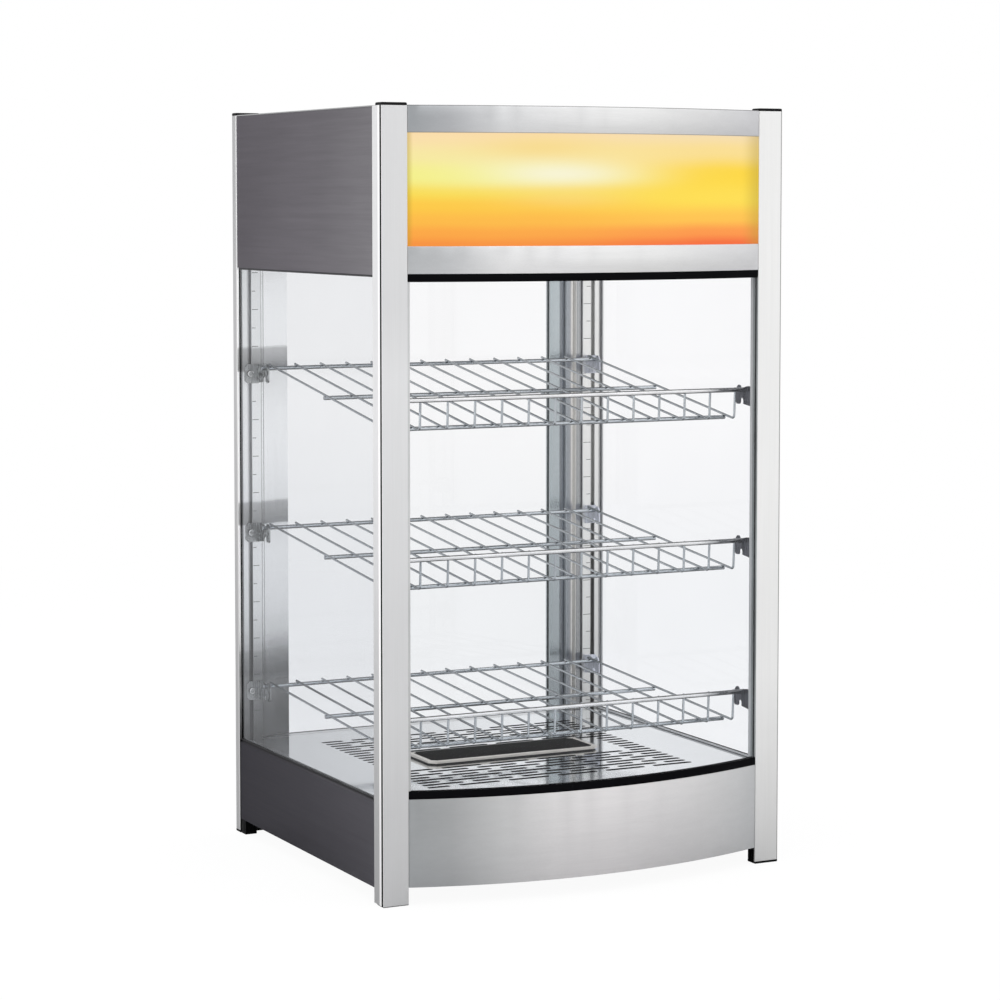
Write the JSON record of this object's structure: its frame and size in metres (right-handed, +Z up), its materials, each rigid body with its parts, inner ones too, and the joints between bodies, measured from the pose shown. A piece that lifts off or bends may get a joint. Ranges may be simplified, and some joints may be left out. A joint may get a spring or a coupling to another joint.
{
  "type": "heated display case",
  "caption": "Countertop heated display case with a bowed glass front, lit sign panel, sloping wire shelves, water tray and hinged rear glass door.",
  "frame": {"origin": "centre of the footprint on the surface that the feet stand on", "axes": "+Z up, the bowed front faces -Y, the door is at +Y, +X is on the right seen from the front"},
  "size_m": [0.464, 0.451, 0.806],
  "materials": {
    "post_aluminium": "satin anodised extrusion",
    "door_aluminium": "satin anodised extrusion",
    "front_steel": "brushed along the width",
    "side_steel": "brushed, dark in tone",
    "roof_steel": "brushed",
    "deck_steel": "bright, finely brushed",
    "pan_steel": "galvanised sheet",
    "front_glass": "clear bent glass",
    "side_glass": "clear flat glass",
    "door_glass": "clear flat glass",
    "black_seal": "semi-matt extruded seal",
    "black_plastic": "moulded, fine grain",
    "rocker_plastic": "moulded, glossy",
    "lamp_amber": "translucent lens",
    "sign_acrylic": "translucent, lit from behind, yellow to orange fade",
    "lens_opal": "opal diffuser",
    "tube_glass": "white coated lamp tube",
    "white_plastic": "moulded",
    "ballast_steel": "painted case",
    "element_sheath": "heat-tinted steel sheath",
    "hinge_steel": "zinc-plated",
    "clip_steel": "dark zinc-plated pressing",
    "shelf_chrome": "bright plated wire",
    "tray_enamel": "steel rim, dark coated well"
  },
  "bodies": {
    "case": {"post_front_left": "post_aluminium", "post_front_right": "post_aluminium", "post_rear_left": "post_aluminium", "post_rear_right": "post_aluminium", "rear_jambs": "door_aluminium", "top_trim_strip": "front_steel", "lower_trim_strip": "front_steel", "front_bottom_panel": "front_steel", "side_top_panel_left": "side_steel", "side_top_panel_right": "side_steel", "side_bottom_panel_left": "side_steel", "side_bottom_panel_right": "side_steel", "roof_panel": "roof_steel", "chamber_ceiling": "roof_steel", "rear_top_panel": "roof_steel", "rear_control_panel": "roof_steel", "rear_sill": "roof_steel", "deck_grille": "deck_steel", "base_pan": "pan_steel", "element_brackets": "pan_steel", "front_glass": "front_glass", "side_glass_left": "side_glass", "side_glass_right": "side_glass", "front_glass_seals": "black_seal", "front_glass_gaskets": "black_seal", "side_glass_seals": "black_seal", "corner_strips": "black_seal", "post_caps": "black_plastic", "feet": "black_plastic", "switch_bezels": "black_plastic", "cord_gland": "black_plastic", "thermostat_body": "black_plastic", "indicator_lamp": "lamp_amber", "sign_panel": "sign_acrylic", "ceiling_lens": "lens_opal", "lamp_tube": "tube_glass", "lamp_holders": "white_plastic", "terminal_block": "white_plastic", "lamp_ballast": "ballast_steel", "heating_element": "element_sheath", "hinge_brackets": "hinge_steel", "rear_screws": "hinge_steel"},
    "door": {"door_stiles": "door_aluminium", "door_rails": "door_aluminium", "door_glass": "door_glass", "door_gasket": "black_seal", "door_grip": "black_plastic"},
    "water_tray": {"water_tray": "tray_enamel"},
    "thermostat_knob": {"thermostat_knob": "black_plastic"},
    "power_rocker": {"power_rocker": "rocker_plastic"},
    "light_rocker": {"light_rocker": "rocker_plastic"},
    "clips_top": {"shelf_clips_top": "clip_steel", "clip_screws_top": "hinge_steel"},
    "shelf_top": {"shelf_top": "shelf_chrome"},
    "clips_middle": {"shelf_clips_middle": "clip_steel", "clip_screws_middle": "hinge_steel"},
    "shelf_middle": {"shelf_middle": "shelf_chrome"},
    "clips_bottom": {"shelf_clips_bottom": "clip_steel", "clip_screws_bottom": "hinge_steel"},
    "shelf_bottom": {"shelf_bottom": "shelf_chrome"}
  },
  "joints": [
    {"name": "door_hinge", "type": "hinge", "parent": "case", "child": "door", "pos_m": [0.19085, 0.22035, 0.372], "axis": [0, 0, -1], "range_deg": [0, 110]},
    {"name": "tray_lift", "type": "slide", "parent": "case", "child": "water_tray", "axis": [0, 0, 1], "range_m": [0, 0.028]},
    {"name": "thermostat_turn", "type": "hinge", "parent": "case", "child": "thermostat_knob", "pos_m": [-0.07, 0.21, 0.048], "axis": [0, -1, 0], "range_deg": [0, 270]},
    {"name": "power_rock", "type": "hinge", "parent": "case", "child": "power_rocker", "pos_m": [-0.01, 0.1995, 0.048], "axis": [-1, 0, 0], "range_deg": [0, 16]},
    {"name": "light_rock", "type": "hinge", "parent": "case", "child": "light_rocker", "pos_m": [0.024, 0.1995, 0.048], "axis": [-1, 0, 0], "range_deg": [0, 16]},
    {"name": "clips_top_height", "type": "slide", "parent": "case", "child": "clips_top", "axis": [0, 0, 1], "range_m": [-0.05, 0.08]},
    {"name": "shelf_top_lift", "type": "slide", "parent": "clips_top", "child": "shelf_top", "axis": [0, 0, 1], "range_m": [0, 0.012]},
    {"name": "clips_middle_height", "type": "slide", "parent": "case", "child": "clips_middle", "axis": [0, 0, 1], "range_m": [-0.05, 0.05]},
    {"name": "shelf_middle_lift", "type": "slide", "parent": "clips_middle", "child": "shelf_middle", "axis": [0, 0, 1], "range_m": [0, 0.012]},
    {"name": "clips_bottom_height", "type": "slide", "parent": "case", "child": "clips_bottom", "axis": [0, 0, 1], "range_m": [-0.01, 0.05]},
    {"name": "shelf_bottom_lift", "type": "slide", "parent": "clips_bottom", "child": "shelf_bottom", "axis": [0, 0, 1], "range_m": [0, 0.012]}
  ]
}
